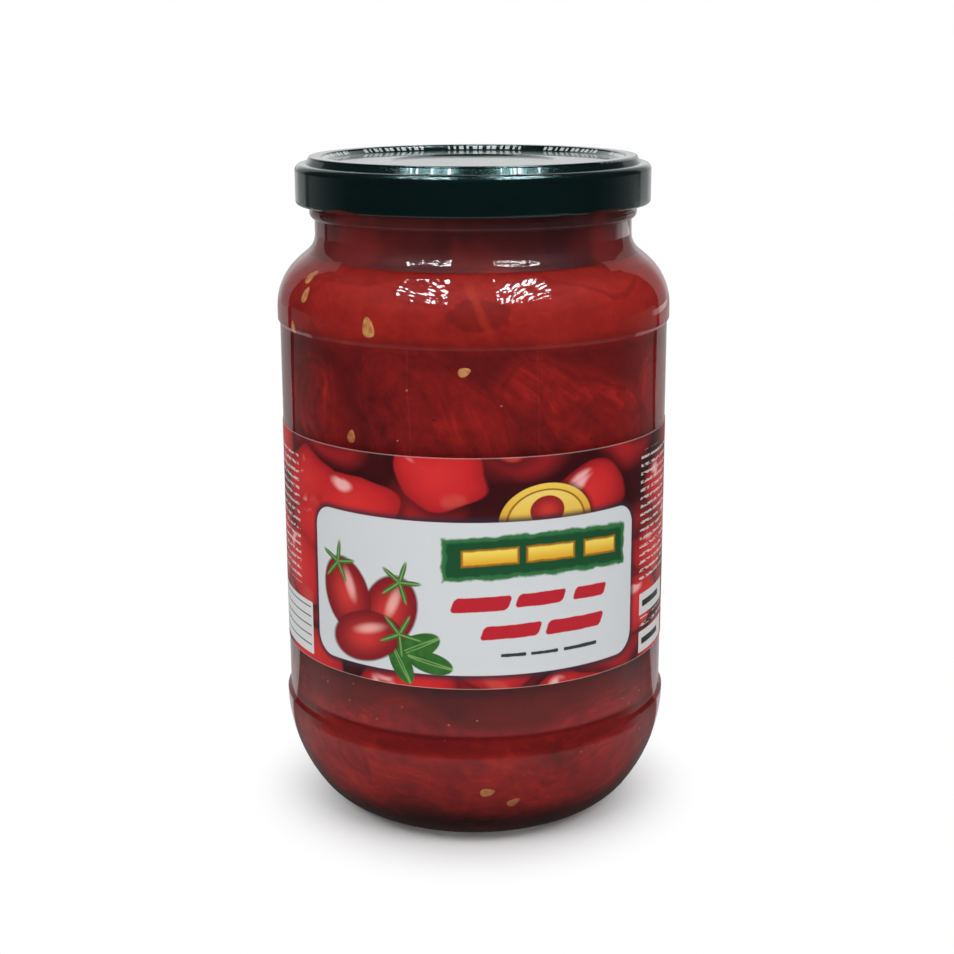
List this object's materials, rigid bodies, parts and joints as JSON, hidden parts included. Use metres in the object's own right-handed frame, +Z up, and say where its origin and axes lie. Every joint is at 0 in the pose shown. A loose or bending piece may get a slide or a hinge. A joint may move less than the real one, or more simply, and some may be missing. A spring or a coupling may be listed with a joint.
{
  "type": "jar of peeled tomatoes",
  "caption": "Tall glass jar of whole peeled plum tomatoes in juice, closed with a dark green lug lid, with a paper wrap label.",
  "frame": {"origin": "middle of the base, on the plane that the jar stands on", "axes": "+Z up along the jar's axis, the middle of the label's front towards -Y"},
  "size_m": [0.0962, 0.0962, 0.1627],
  "materials": {
    "glass": "clear flint glass, smooth, slightly wavy",
    "tomato": "wet peeled tomato and juice",
    "lid_paint": "glossy dark green lacquer on tinplate",
    "sealing_compound": "pale sealing compound, matt",
    "label_paper": "coated printed paper"
  },
  "bodies": {
    "root": {"jar": "glass", "contents": "tomato", "lid": "lid_paint", "seal": "sealing_compound", "label": "label_paper"}
  },
  "joints": []
}
